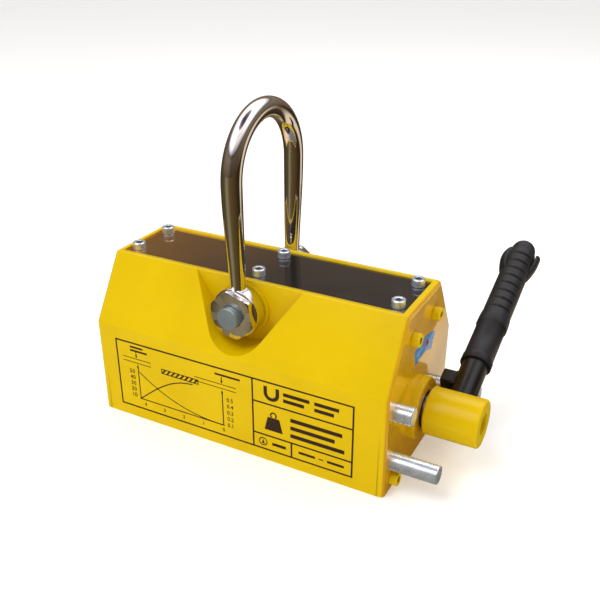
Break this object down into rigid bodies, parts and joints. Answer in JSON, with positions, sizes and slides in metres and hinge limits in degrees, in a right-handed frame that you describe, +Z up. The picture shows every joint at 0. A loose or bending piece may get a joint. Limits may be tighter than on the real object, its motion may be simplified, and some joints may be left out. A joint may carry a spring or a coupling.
{
  "type": "permanent lifting magnet",
  "caption": "Hand-operated permanent lifting magnet: steel body with an inner magnet rotor, a side lever with a safety catch, and a swinging lifting shackle on top.",
  "frame": {"origin": "middle of the flat pole face on the underside of the body", "axes": "+X along the rotor axis to the lever end, +Y to the back where the lever lies at rest, +Z up to the shackle"},
  "size_m": [0.318, 0.2556, 0.2659],
  "materials": {
    "yellow_paint": "thick glossy yellow enamel",
    "polished_plate": "dark polished plate with a fine brushed grain",
    "zinc_screws": "bright zinc plated",
    "chrome_pins": "zinc and chrome plated, lightly mottled",
    "shackle_chrome": "polished chrome over the forging",
    "stud_steel": "matt grey plated end",
    "lever_steel": "black satin paint",
    "black_rubber": "moulded black rubber",
    "rating_print": "yellow foil with black line print",
    "arc_print": "blue foil with a red dot",
    "magnet_nickel": "nickel plated sintered magnets",
    "rotor_iron": "turned soft iron, oiled",
    "inner_screws": "blackened cap screws",
    "bronze": "bronze and brass, turned",
    "seal_rubber": "black nitrile rubber",
    "detent_steel": "hardened bright steel"
  },
  "bodies": {
    "housing": {"pole_block_front": "yellow_paint", "pole_block_back": "yellow_paint", "base_strip": "bronze", "spacer_strip": "bronze", "stator_magnets": "magnet_nickel", "top_plate": "polished_plate", "top_plate_screws": "zinc_screws", "drive_end_plate": "yellow_paint", "blind_end_plate": "yellow_paint", "drive_end_screws": "yellow_paint", "blind_end_screws": "yellow_paint", "drive_shaft_bush": "bronze", "blind_shaft_bush": "bronze", "drive_thrust_washer": "bronze", "blind_thrust_washer": "bronze", "shaft_seal": "seal_rubber", "dust_cap": "yellow_paint", "off_stop_pin": "chrome_pins", "on_stop_pin": "chrome_pins", "lock_pin": "chrome_pins", "rating_label": "rating_print", "direction_label": "arc_print", "shackle_stud_front": "stud_steel", "shackle_stud_back": "stud_steel", "shackle_nut_front": "shackle_chrome", "shackle_nut_back": "shackle_chrome"},
    "shackle": {"shackle": "shackle_chrome"},
    "rotor": {"rotor_segment_front": "rotor_iron", "rotor_segment_back": "rotor_iron", "rotor_magnets": "magnet_nickel", "rotor_screws": "inner_screws", "drive_shaft_flange": "rotor_iron", "blind_shaft_flange": "rotor_iron", "hub_key": "rotor_iron", "lever_hub": "yellow_paint", "hub_screw": "inner_screws", "lever_tube": "lever_steel", "lever_grip": "black_rubber"},
    "catch": {"catch_nose": "lever_steel", "catch_slider": "lever_steel", "catch_detent_ball": "detent_steel", "catch_detent_spring": "detent_steel"}
  },
  "joints": [
    {"name": "shackle_swing", "type": "hinge", "parent": "housing", "child": "shackle", "pos_m": [-0.005, 0, 0.112], "axis": [0, 1, 0], "range_deg": [-60, 60]},
    {"name": "lever_turn", "type": "hinge", "parent": "housing", "child": "rotor", "pos_m": [0.1575, 0, 0.0415], "axis": [1, 0, 0], "range_deg": [0, 155]},
    {"name": "catch_slide", "type": "slide", "parent": "rotor", "child": "catch", "axis": [0, 0.9336, 0.3584], "range_m": [0, 0.01]}
  ]
}
